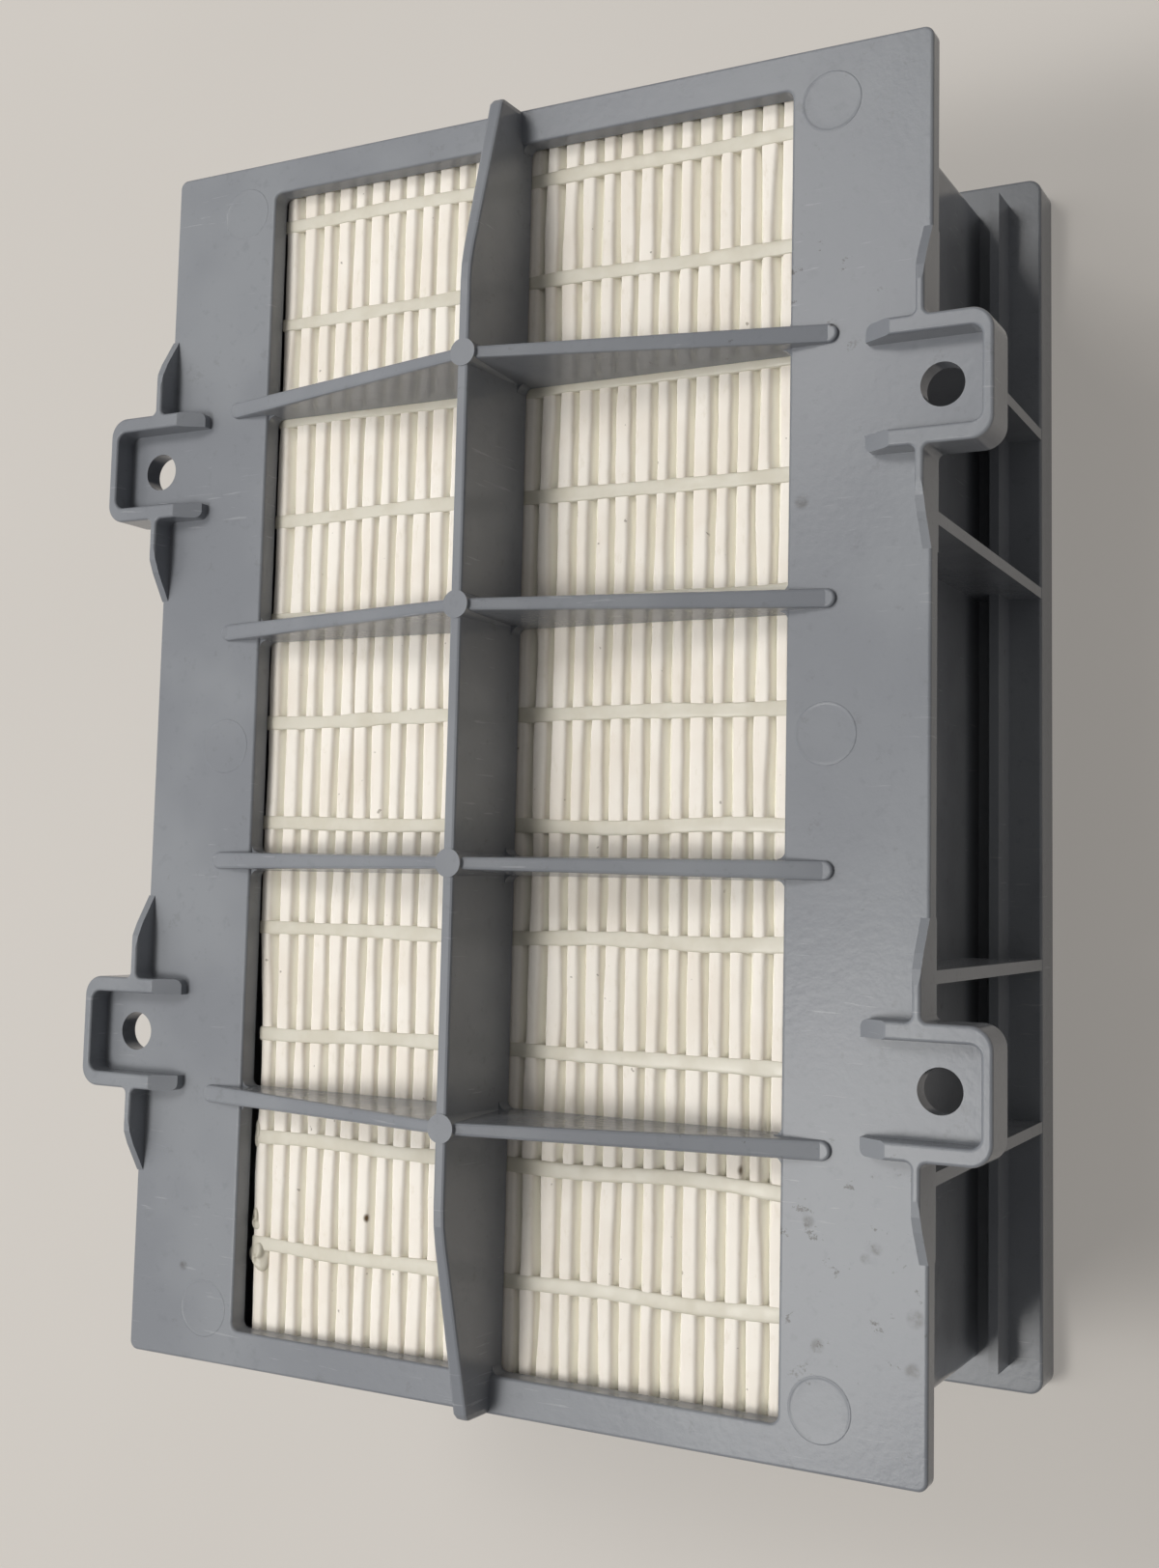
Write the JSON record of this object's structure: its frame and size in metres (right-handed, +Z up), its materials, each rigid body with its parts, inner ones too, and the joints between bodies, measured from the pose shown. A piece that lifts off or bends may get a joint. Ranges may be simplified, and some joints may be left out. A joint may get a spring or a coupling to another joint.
{
  "type": "vacuum cleaner HEPA filter cassette",
  "caption": "Moulded grey filter cassette with a ribbed grille over a pleated paper pack, a rear flange and screw lugs along both long sides.",
  "frame": {"origin": "centre of the rear flange's bottom edge, on the surface the cassette lies on", "axes": "+Z up through the front grille, +Y along the long side, +X across the short side"},
  "size_m": [0.1466, 0.1968, 0.0874],
  "materials": {
    "frame_plastic": "fine satin moulding texture",
    "filter_paper": "soft fibrous",
    "hot_melt": "slightly waxy",
    "sealant": "cured sealant"
  },
  "bodies": {
    "root": {"filter_frame": "frame_plastic", "pleat_pack": "filter_paper", "edge_sealant": "sealant", "front_bead_01": "hot_melt", "front_bead_02": "hot_melt", "front_bead_03": "hot_melt", "front_bead_04": "hot_melt", "front_bead_05": "hot_melt", "front_bead_06": "hot_melt", "front_bead_07": "hot_melt", "front_bead_08": "hot_melt", "front_bead_09": "hot_melt", "front_bead_10": "hot_melt", "front_bead_11": "hot_melt", "rear_bead_01": "hot_melt", "rear_bead_02": "hot_melt", "rear_bead_03": "hot_melt", "rear_bead_04": "hot_melt", "rear_bead_05": "hot_melt", "rear_bead_06": "hot_melt", "rear_bead_07": "hot_melt", "rear_bead_08": "hot_melt", "rear_bead_09": "hot_melt", "rear_bead_10": "hot_melt", "rear_bead_11": "hot_melt"}
  },
  "joints": []
}
